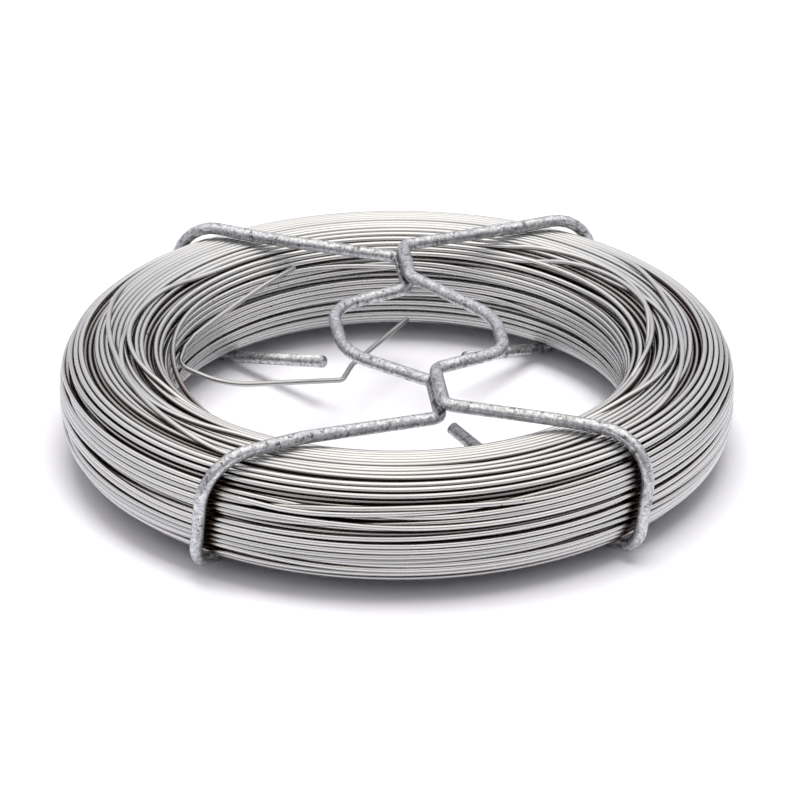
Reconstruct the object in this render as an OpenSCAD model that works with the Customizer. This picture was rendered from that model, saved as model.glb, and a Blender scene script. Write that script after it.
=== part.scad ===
// Coil of stainless steel wire, held in a cage of two bent galvanised rods.
// It lies flat: the coil's axis is Z, and the floor is at z = 0 under the rods' feet.

/* [Wire coil] */
// Outer diameter of the wound coil
coil_od = 124.6; // [110:0.1:150]
// Bore of the wound coil
coil_id = 83.4; // [70:0.1:98]
// Height of the wound coil
coil_h = 20.4; // [16:0.1:26]
// Diameter of the stainless wire
wire_d = 1; // [0.7:0.05:1.4]
// How square the coil's section is: 2 is an ellipse
section_power = 2.8; // [2:0.1:4]

/* [Cage rods] */
// Diameter of the galvanised rod
rod_d = 2.4; // [2:0.1:3.2]
// Gap between a rod and the coil where it is seated
seat_gap = 0.25; // [0.05:0.05:0.5]
// How deep the rods' feet are bedded into the coil's underside
bed = 0.9; // [0.4:0.05:1.2]
// Centreline radius of the bend over the coil's shoulder
shoulder_bend = 9; // [6:0.1:9]
// Centreline radius of the bend at a foot
foot_bend = 4.6; // [3:0.1:7]
// Centreline radius of the tight bends at the ends of a weld
weld_bend = 2.6; // [2:0.1:4]

/* [Eye and welds] */
// Free length of the eye between the two welds
eye_l = 40; // [32:0.5:46]
// Width of the eye between the rods' centrelines
eye_w = 30.6; // [24:0.2:38]
// Length that the two rods run one over the other at a weld
weld_l = 14.4; // [10:0.2:18]
// How far the eye's middle lies to one side of the coil's axis
eye_offset = 4.3; // [-6:0.2:6]

/* [Legs] */
// Length of a long leg, from its foot's corner inwards
leg_l = 43.5; // [36:0.5:52]
// Length of the one short leg
short_leg_l = 36; // [30:0.5:38]
// Rise of a leg inside the bore, for each unit that it runs inwards
leg_rise = 0.3; // [0:0.01:0.4]
// The same rise for the front right leg, which is bent down further
low_leg_rise = 0.22; // [0:0.01:0.4]

/* [Free end of the wire] */
// Height of the wire's free end above the floor, at its kink
tail_h = 9.1; // [6:0.1:13]

/* [Hidden] */

rod_r = rod_d / 2;
wire_r = wire_d / 2;
coil_mid = (coil_od + coil_id) / 4;
section_a = (coil_od - coil_id) / 4;
section_b = coil_h / 2;
coil_bottom = rod_d + seat_gap - bed;
coil_top = coil_bottom + coil_h;
coil_z = coil_bottom + section_b;

// Radius of a rod's centreline where it stands against the coil's outside
stand_r = coil_od / 2 + seat_gap + rod_r;
// Height of a rod's centreline where it lies on the coil
seat_z = coil_top + seat_gap + rod_r;
// The two rods are stacked at the welds, nearly one above the other
weld_gap = 0.2;
weld_side = 0.6;
weld_drop = sqrt(pow(rod_d + weld_gap, 2) - pow(weld_side, 2));
lower_z = seat_z - 1.35;
upper_z = lower_z + weld_drop;
// A leg lies on the floor between these two radii, under the coil's lowest turns
lift_r = coil_mid - 0.45 * section_a;
rest_r = coil_mid + 0.25 * section_a;
leg_bend = 14;
// Height of a foot's corner above the leg's lowest point
foot_lift = 2;

rod_sides = 16;
bend_steps = 7;
wire_sides = 10;

// ---- small vector functions ----
function unit(v) = v / norm(v);
function polar(r, a, z) = [r * cos(a), r * sin(a), z];
// The eye's middle lies this far to the front of the coil's axis
eye_forward = 1.2;
function in_eye(u, v, z) = [eye_offset + u, v - eye_forward, z];

// ---- a route with rounded corners: each corner is [point, bend radius] ----
function corner_arc(a, b, c, r) =
    let (u = unit(a - b), v = unit(c - b), half = acos(u * v) / 2, turn = 180 - 2 * half)
    turn < 1 ? [b] :
    let (
        reach = r / tan(half),
        centre = b + unit(u + v) * r / sin(half),
        from = b + u * reach - centre,
        to = b + v * reach - centre,
        steps = max(2, ceil(bend_steps * turn / 90))
    )
    [for (i = [0:steps]) let (t = i / steps)
        centre + (sin((1 - t) * turn) * from + sin(t * turn) * to) / sin(turn)];
function route(corners) = let (last = len(corners) - 1) [
    corners[0][0],
    for (i = [1:last - 1])
        each corner_arc(corners[i - 1][0], corners[i][0], corners[i + 1][0], corners[i][1]),
    corners[last][0]
];

// ---- a round bar along a route, with square-cut ends ----
function tangent(p, i) = unit(p[min(i + 1, len(p) - 1)] - p[max(i - 1, 0)]);
function square_to(n, t) = unit(n - t * (n * t));
function normals(p) = [
    for (i = 0, n = square_to([0.3, 0.2, 1], tangent(p, 0));
         i < len(p);
         i = i + 1, n = i < len(p) ? square_to(n, tangent(p, i)) : n) n
];
module bar(p, r, sides) {
    side_normals = normals(p);
    rings = [for (i = [0:len(p) - 1])
        let (n = side_normals[i], b = cross(tangent(p, i), n))
        for (k = [0:sides - 1]) p[i] + r * (cos(360 * k / sides) * n + sin(360 * k / sides) * b)];
    last = (len(p) - 1) * sides;
    polyhedron(rings, [
        [for (k = [0:sides - 1]) k],
        [for (k = [sides - 1:-1:0]) last + k],
        for (i = [0:len(p) - 2], k = [0:sides - 1])
            let (a = i * sides + k, b = i * sides + (k + 1) % sides)
            each [[a, a + sides, b], [b, a + sides, b + sides]]
    ]);
}

// ---- the coil's section, with its outer turns on the outline ----
function signed_power(x, p) = sign(x) * pow(abs(x), p);
// A point on the line through the centres of the outer turns
function outline(t) = [
    coil_mid + (section_a - wire_r) * signed_power(cos(t), 2 / section_power),
    (section_b - wire_r) * signed_power(sin(t), 2 / section_power)
];
outline_step = 2;
outline_steps = [for (t = [0:outline_step:360 - outline_step])
    norm(outline(t + outline_step) - outline(t))];
function running_sum(list) = [for (i = 0, s = 0; i <= len(list);
    s = s + (i < len(list) ? list[i] : 0), i = i + 1) s];
outline_run = running_sum(outline_steps);
outline_table = [for (i = [0:len(outline_run) - 1]) [outline_run[i], i * outline_step]];
outline_len = outline_run[len(outline_run) - 1];
// Neighbouring turns overlap a little in the section, so that they are one solid
turn_overlap = 0.94;
turn_count = ceil(outline_len / (wire_d * turn_overlap));
turn_centres = [for (i = [0:turn_count - 1])
    outline(lookup(i * outline_len / turn_count, outline_table))];

// ---- the wire's free end: off the bore's wall, across the bore, and up past a kink ----
bore_r = coil_id / 2;
tail_corners = [
    [polar(bore_r + wire_d, 148, tail_h + 5.4), 0],
    [polar(bore_r - wire_r, 165, tail_h + 4), 0.12 * bore_r],
    [polar(0.763 * bore_r, 171.7, tail_h + 1.6), 0.336 * bore_r],
    [polar(0.299 * bore_r, 138.9, tail_h - 0.2), 1.3],
    [polar(0.386 * bore_r, 115.8, tail_h - 0.2), 3],
    [polar(0.792 * bore_r, 80.6, tail_h + 0.3), 0]
];

// ---- the grooves that the rods' feet press into the coil's underside ----
foot_angles = [230.6, 129, 305.3, 46];
foot_rises = [leg_rise, leg_rise, low_leg_rise, leg_rise];
groove_top = coil_z - 0.45 * section_b;
groove_w = rod_d + 2 * seat_gap + 0.5;
// The foot's centreline in its own upright plane, from inside the bore to the groove's top
function foot_line(rise) =
    let (corners = leg(0, 0, stand_r - bore_r + 2, rise))
    route([for (i = [0:3]) corners[i], [[stand_r, 0, groove_top], 0]]);
function groove(line) = [
    for (i = [0:len(line) - 1])
        let (t = tangent(line, i)) [line[i][0], line[i][2]] + (rod_r + seat_gap) * [-t[2], t[0]],
    [stand_r + rod_d, groove_top],
    [stand_r + rod_d, -1],
    [bore_r - 2, -1]
];

// The wound wire is one turned body; its inner end comes loose into the bore
module wound_turns() {
    translate([0, 0, coil_z])
    rotate_extrude($fn = 180) {
        polygon(turn_centres);
        for (c = turn_centres) translate(c) circle(r = wire_r, $fn = 20);
    }
}
module foot_grooves() {
    for (i = [0:3])
        rotate([0, 0, foot_angles[i]])
        rotate([90, 0, 0])
        linear_extrude(height = groove_w, center = true)
        polygon(groove(foot_line(foot_rises[i])));
}
module wire_coil() {
    color([0.72, 0.71, 0.7]) {
        difference() {
            wound_turns();
            foot_grooves();
        }
        bar(route(tail_corners), wire_r, wire_sides);
    }
}

// ---- the cage's rods ----
// A leg from its cut end to the shoulder, with its foot and its shoulder at these angles
function leg(foot, shoulder, length, rise = leg_rise) = [
    [polar(stand_r - length, foot, rod_r + rise * (lift_r - stand_r + length)), 0],
    [polar(lift_r, foot, rod_r), leg_bend],
    [polar(rest_r, foot, rod_r), leg_bend],
    [polar(stand_r, foot, rod_r + foot_lift), foot_bend],
    [polar(stand_r, shoulder, seat_z), shoulder_bend]
];
// An arm's soft bend, at a share of its length and to the side of its straight line
arm_share = 0.42;
function arm_bend(shoulder, weld, side) =
    let (d = unit([weld[0] - shoulder[0], weld[1] - shoulder[1], 0]))
    [[
        shoulder[0] + arm_share * (weld[0] - shoulder[0]) - side * d[1],
        shoulder[1] + arm_share * (weld[1] - shoulder[1]) + side * d[0],
        seat_z
    ], 30];
function reversed(list) = [for (i = [len(list) - 1:-1:0]) list[i]];

// One rod: leg, arm, weld, bow, weld, arm, leg
function rod_route(front, back, front_side, back_side, bow, z, u) =
    let (
        inner = eye_l / 2,
        outer = inner + weld_l,
        front_out = in_eye(u, -outer, z),
        back_out = in_eye(u, outer, z)
    )
    route([
        each front,
        arm_bend(front[4][0], front_out, front_side),
        [front_out, weld_bend],
        [in_eye(u, -inner, z), weld_bend],
        for (c = bow) [in_eye(c[0] * eye_w / 2, c[1] * eye_l / 2, z), c[2]],
        [in_eye(u, inner, z), weld_bend],
        [back_out, weld_bend],
        arm_bend(back[4][0], back_out, back_side),
        each reversed(back)
    ]);

// A bow's bends: [share of half the eye's width, share of half its length, radius]
lower_bow = [[-0.96, -0.33, 14], [-1.01, 0.66, 9]];
upper_bow = [[0.9, -0.7, 6], [0.9, 0.02, 14]];

module cage_rod_lower() {
    color([0.6, 0.62, 0.63])
    bar(rod_route(
        leg(foot_angles[0], 233, short_leg_l),
        leg(foot_angles[1], 125.5, leg_l + 0.4),
        1.2, -2.5, lower_bow, lower_z, -weld_side / 2), rod_r, rod_sides);
}
module cage_rod_upper() {
    color([0.6, 0.62, 0.63])
    bar(rod_route(
        leg(foot_angles[2], 308.5, leg_l + 5, low_leg_rise),
        leg(foot_angles[3], 47.5, leg_l - 1),
        -2, -0.5, upper_bow, upper_z, weld_side / 2), rod_r, rod_sides);
}

wire_coil();
cage_rod_lower();
cage_rod_upper();
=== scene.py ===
import math
import bpy
import bmesh
import numpy as np
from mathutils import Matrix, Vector, noise


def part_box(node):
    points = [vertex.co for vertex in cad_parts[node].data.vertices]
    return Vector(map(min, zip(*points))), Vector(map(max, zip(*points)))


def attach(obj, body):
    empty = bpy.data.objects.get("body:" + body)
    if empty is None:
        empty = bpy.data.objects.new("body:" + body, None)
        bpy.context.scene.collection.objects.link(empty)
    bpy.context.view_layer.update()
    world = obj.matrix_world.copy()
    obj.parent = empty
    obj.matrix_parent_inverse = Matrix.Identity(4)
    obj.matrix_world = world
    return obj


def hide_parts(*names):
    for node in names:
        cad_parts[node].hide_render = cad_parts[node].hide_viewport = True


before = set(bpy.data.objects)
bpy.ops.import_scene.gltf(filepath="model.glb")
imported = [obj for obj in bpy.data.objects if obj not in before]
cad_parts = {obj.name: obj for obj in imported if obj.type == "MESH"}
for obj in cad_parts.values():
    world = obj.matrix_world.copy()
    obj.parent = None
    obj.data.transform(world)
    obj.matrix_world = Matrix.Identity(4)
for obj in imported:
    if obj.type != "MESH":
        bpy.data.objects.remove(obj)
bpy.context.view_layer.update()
scene = bpy.context.scene
MM = 0.001

# ---------------------------------------------------------------- camera
# A long lens looks down at the coil from the front, a little from the left, 27 degrees above
# the table that the coil lies on.
camera = bpy.data.objects.new("camera", bpy.data.cameras.new("camera"))
scene.collection.objects.link(camera)
camera.location = (-0.0631, -0.6003, 0.3087)
camera.data.sensor_width, camera.data.lens = 36.0, 163.3
camera.data.clip_start = 0.01
heading, dip = math.radians(6.054), math.radians(26.46)
look = Vector((math.sin(heading), math.cos(heading), -math.tan(dip)))
camera.rotation_euler = look.to_track_quat("-Z", "Y").to_euler()
scene.camera = camera
scene.view_settings.view_transform = "Standard"

# ---------------------------------------------------------------- table and light
# A sheet of white card in a studio with white walls: one soft box overhead, and a weak and
# slightly warm one above the camera. The room is darker on the camera's side.
sheet_half = 2.5
floor_mesh = bpy.data.meshes.new("table_sheet")
build = bmesh.new()
bmesh.ops.create_grid(build, x_segments=2, y_segments=2, size=sheet_half)
build.to_mesh(floor_mesh)
build.free()
floor = bpy.data.objects.new("table_sheet", floor_mesh)
scene.collection.objects.link(floor)


def new_material(name):
    material = bpy.data.materials.new(name)
    material.use_nodes = True
    nodes, links = material.node_tree.nodes, material.node_tree.links
    return material, nodes, links, nodes["Principled BSDF"]


def add_node(nodes, kind, **values):
    made = nodes.new(kind)
    for key, value in values.items():
        if key in made.inputs:
            made.inputs[key].default_value = value
        else:
            setattr(made, key, value)
    return made


def ramp(nodes, stops):
    made = nodes.new("ShaderNodeValToRGB")
    while len(made.color_ramp.elements) < len(stops):
        made.color_ramp.elements.new(0.5)
    for element, (place, value) in zip(made.color_ramp.elements, stops):
        element.position = place
        element.color = (value, value, value, 1.0) if isinstance(value, float) else (*value, 1.0)
    return made


def seen_or_mirrored(nodes, links):
    """1 for what is seen, directly or in metal or glass, and 0 for what only gives light."""
    ray = nodes.new("ShaderNodeLightPath")
    result = ray.outputs["Is Camera Ray"]
    for kind in ("Is Glossy Ray", "Is Transmission Ray"):
        either = add_node(nodes, "ShaderNodeMath", operation="MAXIMUM")
        links.new(result, either.inputs[0])
        links.new(ray.outputs[kind], either.inputs[1])
        result = either.outputs[0]
    return result


card, nodes, links, shader = new_material("white_card")
white_as_lamp, white_as_seen = (0.86, 0.86, 0.87, 1), (0.99, 0.98, 1.025, 1)
whiteness = add_node(nodes, "ShaderNodeMixRGB", Color1=white_as_lamp, Color2=white_as_seen)
links.new(seen_or_mirrored(nodes, links), whiteness.inputs["Fac"])
links.new(whiteness.outputs[0], shader.inputs["Base Color"])
shader.inputs["Roughness"].default_value = 0.8
shader.inputs["Specular IOR Level"].default_value = 0.1
floor_mesh.materials.append(card)

world = bpy.data.worlds.new("white_room")
scene.world = world
world.use_nodes = True
nodes, links = world.node_tree.nodes, world.node_tree.links
background = nodes["Background"]
direction = nodes.new("ShaderNodeTexCoord")
split = nodes.new("ShaderNodeSeparateXYZ")
links.new(direction.outputs["Generated"], split.inputs[0])
height = ramp(
    nodes,
    [
        (0.0, (0.71, 0.72, 0.77)),
        (0.22, (0.87, 0.88, 0.94)),
        (0.5, (1.13, 1.14, 1.19)),
        (0.8, (1.84, 1.81, 1.77)),
        (1.0, (2.3, 2.24, 2.14)),
    ],
)
links.new(split.outputs["Z"], height.inputs[0])
camera_side_share = 0.5
to_back = nodes.new("ShaderNodeMapRange")
to_back.inputs["From Min"].default_value, to_back.inputs["From Max"].default_value = -0.9, -0.2
to_back.inputs["To Min"].default_value = camera_side_share
links.new(split.outputs["Y"], to_back.inputs["Value"])
room = add_node(nodes, "ShaderNodeMixRGB", blend_type="MULTIPLY", Fac=1.0)
links.new(height.outputs[0], room.inputs["Color1"])
links.new(to_back.outputs["Result"], room.inputs["Color2"])
links.new(room.outputs[0], background.inputs["Color"])
room_as_lamp, room_as_seen = 0.44, 0.85
strength = nodes.new("ShaderNodeMapRange")
strength.inputs["To Min"].default_value = room_as_lamp
strength.inputs["To Max"].default_value = room_as_seen
links.new(seen_or_mirrored(nodes, links), strength.inputs["Value"])
links.new(strength.outputs["Result"], background.inputs["Strength"])


def soft_box(name, place, size_x, size_y, watts, colour=(1, 1, 1)):
    data = bpy.data.lights.new(name, "AREA")
    data.shape = "RECTANGLE"
    data.size, data.size_y = size_x, size_y
    data.energy = watts
    data.color = colour
    made = bpy.data.objects.new(name, data)
    scene.collection.objects.link(made)
    made.location = place
    made.rotation_euler = (-Vector(place)).to_track_quat("-Z", "Y").to_euler()
    return made


overhead = soft_box("overhead_box", (0.02, 0.02, 0.95), 0.8, 0.34, 6.4)
overhead.visible_glossy = False
soft_box("front_box", (-0.10, -0.75, 1.0), 0.7, 0.25, 0.45, (1.0, 0.97, 0.92))

# ---------------------------------------------------------------- the wound wire
# One length of bright drawn stainless wire, wound by machine into a loose bundle. Between the
# rods its turns wander over and under each other, and under a rod they lie in order. Only the
# outer three layers are made; a ring painted near black as painted shade stands for the layers
# inside them.
low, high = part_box("wire_coil")
wire_r = 0.5
# The coil's section is a rounded square, section_a across by section_b up from its middle.
section_a = 10.3
section_b = (high.z - low.z) / 2 / MM
coil_mid = high.x / MM - section_a
coil_z = (high.z + low.z) / 2 / MM
squareness = 3.0
half_u, half_v = section_a - wire_r, section_b - wire_r
# Where the rods go over the coil and where their feet go under it, in degrees from the right.
rod_angles = (125.5, 233.0, 308.5, 47.5)
foot_angles = (129.0, 230.6, 305.3, 46.0)
layer_turns = np.array([55, 47, 30])
layer_reach = np.array([1.0, 0.885, 0.78])
inner_reach = 0.68
turns, slices = int(layer_turns.sum()), 72


def soft_power(x):
    return np.sign(x) * np.abs(x) ** (2 / squareness)


def reach_of(u, v):
    """How far out a place in the section lies: 1 is the line through the outer turns' centres."""
    return (np.abs(u / half_u) ** squareness + np.abs(v / half_v) ** squareness) ** (1 / squareness)


# The line through the outer turns' centres, and how far along it each of its places lies.
outline_t = np.linspace(0, 2 * math.pi, 1441)
outline_u = half_u * soft_power(np.cos(outline_t))
outline_v = half_v * soft_power(np.sin(outline_t))
outline_run = np.concatenate([[0], np.cumsum(np.hypot(np.diff(outline_u), np.diff(outline_v)))])
outline_length = outline_run[-1]

turn_number = np.arange(turns * slices) / slices
around = 2 * math.pi * np.arange(slices) / slices


def wander(knots_per_turn, seed):
    """A smooth random number along the whole wire, about -2 to 2."""
    knots = np.random.default_rng(seed).standard_normal(int(turns * knots_per_turn) + 4)
    place = turn_number * knots_per_turn
    first = place.astype(int)
    part = place - first
    part = part * part * (3 - 2 * part)
    return knots[first] * (1 - part) + knots[first + 1] * part


# A rod over the coil keeps the turns in order for some degrees to either side.
rod_hold, held_degrees = 0.85, 13.0
looseness = np.ones(slices)
for angle in rod_angles:
    off = (np.degrees(around) - angle + 180) % 360 - 180
    looseness *= 1 - rod_hold * np.exp(-((off / held_degrees) ** 2))
looseness = np.tile(looseness, turns)

# Each layer goes once round the section's outline. Its turns drift along the outline and in
# and out, and gather in clumps with voids between them.
layer_start = np.concatenate([[0], np.cumsum(layer_turns)[:-1]])
layer = np.searchsorted(layer_start, turn_number, side="right") - 1
share = (turn_number - layer_start[layer]) / layer_turns[layer]
sideways_drift, depth_drift = 1.2, 0.05
run = share * outline_length + wire_r * layer + looseness * sideways_drift * wander(4.3, 6)
turn_angle = np.tile(around, turns)
clumps = ((9, 2, 0.4, 0.3), (6, -1, 4.0, 0.28), (13, -3, 2.1, 0.2))
for waves, swings, phase, size in clumps:
    run += size * np.sin(2 * math.pi * waves * run / outline_length + swings * turn_angle + phase)
run = np.mod(run, outline_length)
depth = layer_reach[layer] + looseness * depth_drift * wander(1.7, 7)
on_outline = [np.interp(run, outline_run, line) for line in (outline_u, outline_v)]
section = np.stack(on_outline, -1) * depth[:, None]

# The turns push each other apart and stay stiff meanwhile. Where some still cut into another,
# it is mostly by less than a tenth of a wire. Neighbours are looked up again every few steps.
push_steps, steps_per_search, search_margin = 400, 6, 0.5
most_push, stiffness, homing = 0.3, 0.2, 0.02
pair_a, pair_b = np.triu_indices(turns, 1)
for step in range(push_steps):
    if step % steps_per_search == 0:
        u, v = section[:, 0].reshape(turns, slices), section[:, 1].reshape(turns, slices)
        reach_2 = (2 * wire_r + search_margin) ** 2
        near = (u[pair_a] - u[pair_b]) ** 2 + (v[pair_a] - v[pair_b]) ** 2 < reach_2
        pair, place = np.nonzero(near)
        one, other = pair_a[pair] * slices + place, pair_b[pair] * slices + place
    apart = section[one] - section[other]
    distance = np.hypot(apart[:, 0], apart[:, 1]) + 1e-6
    move = apart * (np.clip(2 * wire_r - distance, 0, None) * 0.5 / distance)[:, None]
    for axis in (0, 1):
        push = np.bincount(one, move[:, axis], len(section))
        push -= np.bincount(other, move[:, axis], len(section))
        section[:, axis] += np.clip(push, -most_push, most_push)
    section[1:-1] += stiffness * (section[2:] + section[:-2] - 2 * section[1:-1])
    reach = reach_of(section[:, 0], section[:, 1])
    wanted = np.clip(reach + homing * (layer_reach[layer] - reach), inner_reach, 1)
    section *= (wanted / reach)[:, None]

# A few outer turns have slipped over their neighbours, on top of the bundle: each is given by
# the angle where it slipped, the place it left and how far it went, both in millimetres across
# the section, and the degrees to either side over which it comes back. There it lies higher
# than its neighbours by one_up, about a wire's thickness as a share of the section.
one_up = 0.1
slips = (
    (8, -8.6, 4.0, 50),
    (24, -6.0, 3.2, 42),
    (-14, -4.4, 3.8, 46),
    (-2, 3.0, -3.4, 46),
    (174, -6.6, 3.2, 46),
    (190, 4.4, -4.0, 50),
    (206, -3.0, 3.2, 46),
)
relaxed = section.reshape(turns, slices, 2).copy()
for slip_angle, place, shift, width in slips:
    at_slice = round(slip_angle / 360 * slices) % slices
    here = relaxed[: layer_turns[0], at_slice]
    not_on_top = np.where(here[:, 1] > 0.5 * half_v, 0, 99)
    slipped = int(np.argmin(np.abs(here[:, 0] - place) + not_on_top))
    off = (turn_number - slipped - at_slice / slices) * 360 / width
    window = np.abs(off) < 1
    bump = np.cos(off[window] * math.pi / 2) ** 2
    u, v = section[window].T
    top_u = u + shift * bump
    lift = 1 + one_up * np.clip(2.5 * bump, 0, 1)
    across = np.clip(np.abs(top_u / half_u), 0, 0.995)
    flat = (1 - across**squareness) ** (1 / squareness) * half_v
    blend = np.clip(4 * bump, 0, 1)
    section[window] = np.stack([top_u, (v * (1 - blend) + flat * blend) * lift], -1)

# One of the innermost upper turns has sprung a little way into the bore on the left.
stray_angle, stray_width, stray_out = 187, 52, 1.9
left_slice = round(stray_angle / 360 * slices)
left_places = section.reshape(turns, slices, 2)[:, left_slice]
upper = left_places[:, 1] > 0.62 * half_v
stray = int(np.argmin(np.where(upper, left_places[:, 0], 99)))
spring = np.abs(turn_number - stray - left_slice / slices) * 360 / stray_width
section[:, 0] -= np.where(spring < 1, stray_out * np.cos(spring * math.pi / 2) ** 2, 0)

# The stiff wire runs in smooth curves between the places worked out above.
fine = 3
before, after = np.roll(section, 1, axis=0), np.roll(section, -1, axis=0)
before[0], after[-1] = section[0], section[-1]
slope = (after - before) / 2
after_slope = np.roll(slope, -1, axis=0)
smooth_parts = []
for i in range(fine):
    t = i / fine
    smooth_parts.append(
        (2 * t**3 - 3 * t**2 + 1) * section
        + (t**3 - 2 * t**2 + t) * slope
        + (3 * t**2 - 2 * t**3) * after
        + (t**3 - t**2) * after_slope
    )
section = np.stack(smooth_parts, 1).reshape(-1, 2)
slices *= fine
turn_angle = np.tile(2 * math.pi * np.arange(slices) / slices, turns)
radius = coil_mid + section[:, 0]
wire_points = np.stack(
    [radius * np.cos(turn_angle), radius * np.sin(turn_angle), coil_z + section[:, 1]], -1
)

steel, nodes, links, shader = new_material("bright_drawn_wire")
shader.inputs["Metallic"].default_value = 1.0
# The turn_shade attribute is each turn's own tone, lowered on the turns' undersides as painted
# shade.
turn_shade = add_node(nodes, "ShaderNodeAttribute", attribute_name="turn_shade")
dull, plain, bright = (0.39, 0.385, 0.385), (0.57, 0.565, 0.56), (0.69, 0.68, 0.67)
tint = ramp(nodes, [(0.0, dull), (0.5, plain), (1.0, bright)])
links.new(turn_shade.outputs["Fac"], tint.inputs[0])
# The groove attribute is painted shade: it turns the tint brown in shallow grooves and near black
# in deep ones.
groove = add_node(nodes, "ShaderNodeAttribute", attribute_name="groove")
shade_amount = ramp(nodes, [(0.32, 0.0), (0.78, 1.0)])
links.new(groove.outputs["Fac"], shade_amount.inputs[0])
brown_shade, black_shade = (0.095, 0.056, 0.036), (0.025, 0.018, 0.016)
shade_colour = ramp(nodes, [(0.75, brown_shade), (1.0, black_shade)])
links.new(groove.outputs["Fac"], shade_colour.inputs[0])
shaded_tint = nodes.new("ShaderNodeMixRGB")
links.new(shade_colour.outputs[0], shaded_tint.inputs["Color2"])
links.new(shade_amount.outputs[0], shaded_tint.inputs["Fac"])
links.new(tint.outputs[0], shaded_tint.inputs["Color1"])
coords = nodes.new("ShaderNodeTexCoord")
rust_noise = add_node(nodes, "ShaderNodeTexNoise", Scale=650.0, Detail=1.0)
links.new(coords.outputs["Object"], rust_noise.inputs["Vector"])
rust = ramp(nodes, [(0.79, 0.0), (0.81, 1.0)])
links.new(rust_noise.outputs["Fac"], rust.inputs[0])
rusted = add_node(nodes, "ShaderNodeMixRGB", Color2=(0.16, 0.06, 0.02, 1))
links.new(rust.outputs[0], rusted.inputs["Fac"])
links.new(shaded_tint.outputs[0], rusted.inputs["Color1"])
links.new(rusted.outputs[0], shader.inputs["Base Color"])
smear = add_node(nodes, "ShaderNodeTexNoise", Scale=140.0, Detail=3.0)
links.new(coords.outputs["Object"], smear.inputs["Vector"])
rough = ramp(nodes, [(0.3, 0.20), (0.7, 0.34)])
links.new(smear.outputs["Fac"], rough.inputs[0])
links.new(rough.outputs[0], shader.inputs["Roughness"])


def round_bar(name, points, bar_r, rounding=3):
    """A round bar with closed ends along the points, in millimetres."""
    curve = bpy.data.curves.new(name, "CURVE")
    curve.dimensions = "3D"
    curve.bevel_depth = bar_r * MM
    curve.bevel_resolution = rounding
    curve.use_fill_caps = True
    spline = curve.splines.new("POLY")
    spline.points.add(len(points) - 1)
    places = np.ones((len(points), 4))
    places[:, :3] = np.asarray(points) * MM
    spline.points.foreach_set("co", places.ravel())
    holder = bpy.data.objects.new(name + "_holder", curve)
    scene.collection.objects.link(holder)
    bpy.context.view_layer.update()
    finished = holder.evaluated_get(bpy.context.evaluated_depsgraph_get())
    mesh = bpy.data.meshes.new_from_object(finished)
    bpy.data.objects.remove(holder)
    bpy.data.curves.remove(curve)
    mesh.name = name
    mesh.polygons.foreach_set("use_smooth", [True] * len(mesh.polygons))
    mesh.materials.clear()
    made = bpy.data.objects.new(name, mesh)
    scene.collection.objects.link(made)
    return made


def as_wire(piece, shades, grooves):
    """Gives a piece of the wire its steel, its turns' tones and the painted shade on them."""
    for name, values in (("turn_shade", shades), ("groove", grooves)):
        attribute = piece.data.attributes.new(name, "FLOAT", "POINT")
        attribute.data.foreach_set("value", np.asarray(values, dtype=np.float32))
    piece.data.materials.append(steel)
    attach(piece, "root")
    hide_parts("wire_coil")


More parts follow.
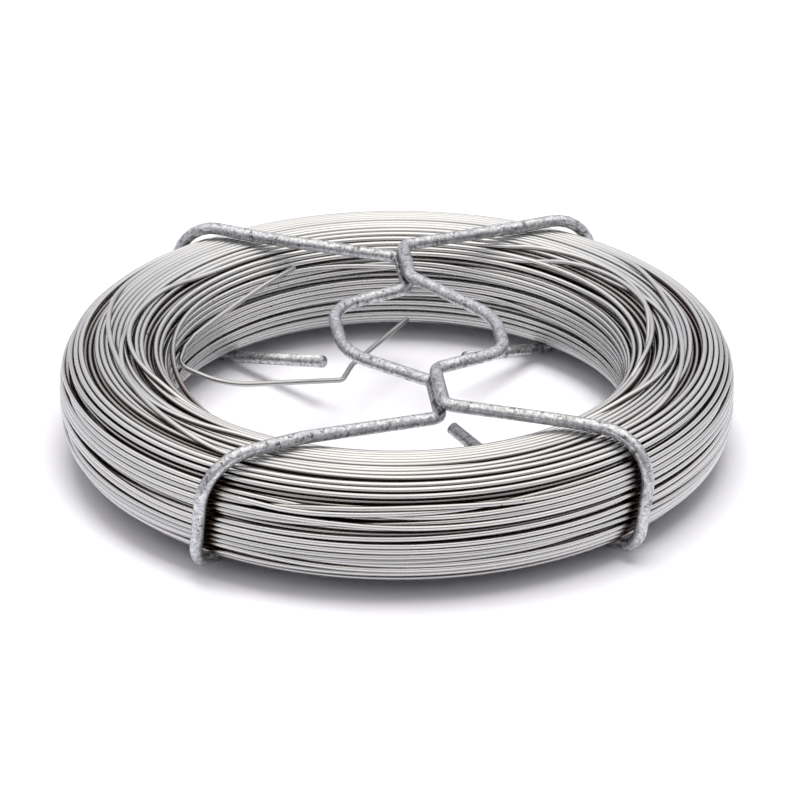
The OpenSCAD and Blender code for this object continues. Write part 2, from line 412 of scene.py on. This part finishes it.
# The wire is made in four lengths, with ring corners round it. Each corner gets a tone from
# its turn and as much painted shade as its place takes: little where it faces out of the
# bundle, much between the turns, under them and in the layers below.
ring = 10
lengths = 4
shade_of_turn = np.random.default_rng(11).random(turns + 2)
open_shade, facing_unshaded, under_groove_shade, lying_shade, buried_shade = 0.6, 0.65, 0.1, 0.2, 2.8
under_shade = 0.42
back_shade_cut, back_y = 0.5, 55
dark_sides, past_rod, far_off = (-1, 1, -1, 1), 1.4, 99.0
for number in range(lengths):
    first = number * turns // lengths * slices
    last = min((number + 1) * turns // lengths * slices + 1, len(wire_points))
    piece = round_bar("wire_turns_%d" % (number + 1), wire_points[first:last], wire_r)
    corners = np.empty(len(piece.data.vertices) * 3)
    piece.data.vertices.foreach_get("co", corners)
    corners = corners.reshape(-1, 3) / MM
    # The mesh has the corners of the closed ends first, and the far end's before the near end's.
    at = first + np.arange(len(corners)) // ring - 2
    at[:ring], at[ring : 2 * ring] = last - 1, first
    out_u = np.hypot(corners[:, 0], corners[:, 1]) - radius[at]
    out_v = corners[:, 2] - coil_z - section[at, 1]
    mid_u, mid_v = section[at, 0] / half_u, section[at, 1] / half_v
    face_u = np.sign(mid_u) * np.abs(mid_u) ** (squareness - 1) / half_u
    face_v = np.sign(mid_v) * np.abs(mid_v) ** (squareness - 1) / half_v
    facing = (out_u * face_u + out_v * face_v) / np.hypot(face_u, face_v) / wire_r
    buried = 1 - reach_of(section[at, 0], section[at, 1])
    turn, part = at // slices, at % slices / slices
    shades = shade_of_turn[turn] * (1 - part) + shade_of_turn[turn + 1] * part
    # Beside each upright, on the side towards the middle of the front or the back, the outer
    # turns are painted black as the upright's shadow for about three degrees, but not on top of
    # the bundle.
    degrees = np.degrees(turn_angle[at])
    beside = np.full(len(at), far_off)
    for angle, foot, way in zip(rod_angles, foot_angles, dark_sides):
        upright = foot + (angle - foot) * np.clip((mid_v + 1) / 2, 0, 1)
        off = ((degrees - upright + 180) % 360 - 180) * way
        beside = np.minimum(beside, np.where(off > -past_rod, np.abs(off), far_off))
    upright_shadow = np.clip(1.6 - beside / 2.0, 0, 1) * np.clip((mid_u - 0.65) * 6, 0, 1)
    upright_shadow *= np.clip((0.9 - mid_v) * 4, 0, 1)
    # The painted shade is weaker towards the back of the coil.
    back_shade_factor = 1 - back_shade_cut * np.clip(corners[:, 1] / back_y, 0, 1)
    # Each turn's underside is darkened as painted shade, in its tone and in the shade mix.
    under = np.clip(-1.3 * out_v / wire_r, 0, 1)
    shades = 0.4 + 0.6 * shades - under_shade * under
    lying = np.clip((mid_v - 0.4) * 3, 0, 1)
    # Painted shade between the turns: less where a corner faces out, more under the turn, higher up
    # the section and deeper in.
    painted_shade = open_shade - facing_unshaded * facing + under_groove_shade * under + lying_shade * lying
    painted_shade = np.clip(painted_shade, -0.1, 0.85) + buried_shade * np.clip(buried, 0, 1) + upright_shadow
    as_wire(piece, shades, np.clip(painted_shade, 0, 1) * back_shade_factor)

# The layers inside: a ring of the same section, painted near black as painted shade, which
# shows between the turns.
core_reach, core_sides, core_steps = inner_reach - 0.02, 48, 120
core_mesh = bpy.data.meshes.new("wire_inner_layers")
build = bmesh.new()
profile = []
for i in range(core_sides):
    t = 2 * math.pi * i / core_sides
    u = coil_mid + core_reach * half_u * soft_power(math.cos(t))
    v = coil_z + core_reach * half_v * soft_power(math.sin(t))
    profile.append(build.verts.new((u * MM, 0, v * MM)))
edges = [build.edges.new((a, b)) for a, b in zip(profile, profile[1:] + profile[:1])]
bmesh.ops.spin(
    build,
    geom=profile + edges,
    cent=(0, 0, 0),
    axis=(0, 0, 1),
    steps=core_steps,
    angle=2 * math.pi,
    use_merge=True,
)
bmesh.ops.remove_doubles(build, verts=build.verts, dist=1e-6)
bmesh.ops.recalc_face_normals(build, faces=build.faces)
build.to_mesh(core_mesh)
build.free()
core = bpy.data.objects.new("wire_inner_layers", core_mesh)
scene.collection.objects.link(core)
core_mesh.polygons.foreach_set("use_smooth", [True] * len(core_mesh.polygons))
shaded, nodes, links, shader = new_material("shaded_inner_wire")
coords = nodes.new("ShaderNodeTexCoord")
streak = add_node(nodes, "ShaderNodeTexNoise", Scale=300.0, Detail=2.0)
links.new(coords.outputs["Object"], streak.inputs["Vector"])
# The ring's near-black colour is painted shade.
deep_shade = ramp(nodes, [(0.3, (0.006, 0.004, 0.004)), (0.7, (0.02, 0.016, 0.014))])
links.new(streak.outputs["Fac"], deep_shade.inputs[0])
links.new(deep_shade.outputs[0], shader.inputs["Base Color"])
shader.inputs["Metallic"].default_value = 0.3
shader.inputs["Roughness"].default_value = 0.6
core_mesh.materials.append(shaded)
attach(core, "root")
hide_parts("wire_coil")

# ---------------------------------------------------------------- the wire's free end
# The inner end of the same wire: it comes off the bore's wall at the back left, turns back on
# itself beside the left side, and crosses the bore, with a sharp kink on the way.
tail_h = 9.1
tail_shade = 0.15
wall_start, wall_span = 112, 46
bore_r = coil_mid - section_a


def polar(r, angle, z):
    return Vector((r * math.cos(math.radians(angle)), r * math.sin(math.radians(angle)), z))


def rounded(corners, steps=9):
    """A route of straight runs with round bends: each corner is (point, bend radius)."""
    points = [corners[0][0]]
    for (a, _), (b, r), (c, _) in zip(corners, corners[1:], corners[2:]):
        u, v = (a - b).normalized(), (c - b).normalized()
        half = u.angle(v) / 2
        centre = b + (u + v).normalized() * r / math.sin(half)
        start, end = b + u * r / math.tan(half) - centre, b + v * r / math.tan(half) - centre
        turn = start.angle(end)
        for i in range(steps + 1):
            t = i / steps
            swept = math.sin((1 - t) * turn) * start + math.sin(t * turn) * end
            points.append(centre + swept / math.sin(turn))
    points.append(corners[-1][0])
    return points


tail_points = [
    polar(
        bore_r + 0.6 - 2.3 * math.sin(math.pi * (angle - wall_start) / wall_span),
        angle,
        tail_h + 9.2 - 4.8 * (angle - wall_start) / wall_span,
    )
    for angle in range(wall_start, wall_start + wall_span - 2, 4)
]
tail_points += rounded(
    [
        (polar(bore_r - 0.1, 158, tail_h + 4.5), 0),
        (polar(bore_r - 0.5, 166, tail_h + 3.6), 3),
        (polar(0.763 * bore_r, 171.7, tail_h + 1.6), 0.336 * bore_r),
        (polar(0.299 * bore_r, 138.9, tail_h - 0.2), 1.3),
        (polar(0.386 * bore_r, 115.8, tail_h - 0.2), 3),
        (polar(0.792 * bore_r, 80.6, tail_h + 0.3), 0),
    ]
)
free_end = round_bar("wire_free_end", tail_points, wire_r, rounding=4)
count = len(free_end.data.vertices)
as_wire(free_end, np.full(count, tail_shade), np.zeros(count))

# ---------------------------------------------------------------- the galvanised rods
# Two bent mild-steel rods, welded where they cross and hot-dip galvanised after that: dull
# mottled zinc with dark flecks, and square-cut ends. Each follows its solid, apart from lumps
# of a few hundredths of a millimetre.
zinc, nodes, links, shader = new_material("hot_dip_galvanised")
coords = nodes.new("ShaderNodeTexCoord")
mottle = add_node(nodes, "ShaderNodeTexNoise", Scale=1700.0, Detail=5.0, Roughness=0.75)
patches = add_node(nodes, "ShaderNodeTexNoise", Scale=420.0, Detail=3.0)
pits = add_node(nodes, "ShaderNodeTexNoise", Scale=900.0, Detail=6.0, Roughness=0.75)
for texture in (mottle, patches, pits):
    links.new(coords.outputs["Object"], texture.inputs["Vector"])
dull, plain, bright = (0.33, 0.34, 0.355), (0.56, 0.57, 0.585), (0.82, 0.83, 0.845)
grey = ramp(nodes, [(0.36, dull), (0.5, plain), (0.64, bright)])
links.new(mottle.outputs["Fac"], grey.inputs[0])
wash = ramp(nodes, [(0.36, 0.78), (0.62, 1.0)])
links.new(patches.outputs["Fac"], wash.inputs[0])
washed = add_node(nodes, "ShaderNodeMixRGB", blend_type="MULTIPLY", Fac=1.0)
links.new(grey.outputs[0], washed.inputs["Color1"])
links.new(wash.outputs[0], washed.inputs["Color2"])
pit = ramp(nodes, [(0.39, 0.85), (0.435, 0.0)])
links.new(pits.outputs["Fac"], pit.inputs[0])
pitted = add_node(nodes, "ShaderNodeMixRGB", Color2=(0.07, 0.065, 0.06, 1))
links.new(pit.outputs[0], pitted.inputs["Fac"])
links.new(washed.outputs[0], pitted.inputs["Color1"])
links.new(pitted.outputs[0], shader.inputs["Base Color"])
shader.inputs["Metallic"].default_value = 0.95
rough = ramp(nodes, [(0.3, 0.42), (0.7, 0.27)])
links.new(mottle.outputs["Fac"], rough.inputs[0])
links.new(rough.outputs[0], shader.inputs["Roughness"])
bump = add_node(nodes, "ShaderNodeBump", Strength=0.2, Distance=0.0001)
links.new(mottle.outputs["Fac"], bump.inputs["Height"])
links.new(bump.outputs["Normal"], shader.inputs["Normal"])

lumps_per_metre, lump_depth = 160, 0.03
for node_name in ("cage_rod_lower", "cage_rod_upper"):
    build = bmesh.new()
    build.from_mesh(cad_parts[node_name].data)
    bmesh.ops.remove_doubles(build, verts=build.verts, dist=2e-6)
    for vert in build.verts:
        lump = noise.noise(vert.co * lumps_per_metre) - 1
        vert.co += vert.normal * lump * lump_depth * MM
    mesh = bpy.data.meshes.new("galvanised_" + node_name)
    build.to_mesh(mesh)
    build.free()
    mesh.materials.append(zinc)
    mesh.polygons.foreach_set("use_smooth", [True] * len(mesh.polygons))
    mesh.set_sharp_from_angle(angle=math.radians(50))
    rod = bpy.data.objects.new("galvanised_" + node_name, mesh)
    scene.collection.objects.link(rod)
    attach(rod, "root")
    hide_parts(node_name)

# ---------------------------------------------------------------- the two welds
# At each crossing a rough seam of weld metal, zinc-coated like the rods and darker, fills the
# groove between them. It fixes the upper rod on the lower one.
weld_zinc, nodes, links, shader = new_material("weld_metal")
coords = nodes.new("ShaderNodeTexCoord")
crust = add_node(nodes, "ShaderNodeTexNoise", Scale=700.0, Detail=5.0, Roughness=0.7)
links.new(coords.outputs["Object"], crust.inputs["Vector"])
black_scale, burnt_zinc, clean_zinc = (0.035, 0.033, 0.038), (0.2, 0.2, 0.22), (0.62, 0.62, 0.65)
burnt = ramp(nodes, [(0.4, black_scale), (0.56, burnt_zinc), (0.66, clean_zinc)])
links.new(crust.outputs["Fac"], burnt.inputs[0])
links.new(burnt.outputs[0], shader.inputs["Base Color"])
shader.inputs["Metallic"].default_value = 0.9
shader.inputs["Roughness"].default_value = 0.4

seam_x, seam_z, eye_y, seam_r = 4.15, 23.5, -1.2, 1.05
seam_points, roughness, grains_per_metre = 57, 0.3, 620
for name, start, end in (("weld_front", -34.6, -20.6), ("weld_back", 20.6, 34.6)):
    seam_y = np.linspace(start, end, seam_points) + eye_y
    places = np.stack([np.full(seam_points, seam_x), seam_y, np.full(seam_points, seam_z)], -1)
    seam = round_bar(name, places, seam_r)
    for vert in seam.data.vertices:
        middle = Vector((seam_x * MM, vert.co.y, seam_z * MM))
        along = (vert.co.y / MM - eye_y - start) / (end - start) * 2 - 1
        grain = 1 + roughness * noise.noise(vert.co * grains_per_metre)
        swell = math.sqrt(max(1 - along**8, 0.02)) * grain
        vert.co = middle + (vert.co - middle) * swell
    seam.data.materials.append(weld_zinc)
    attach(seam, "root")
    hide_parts("cage_rod_upper")
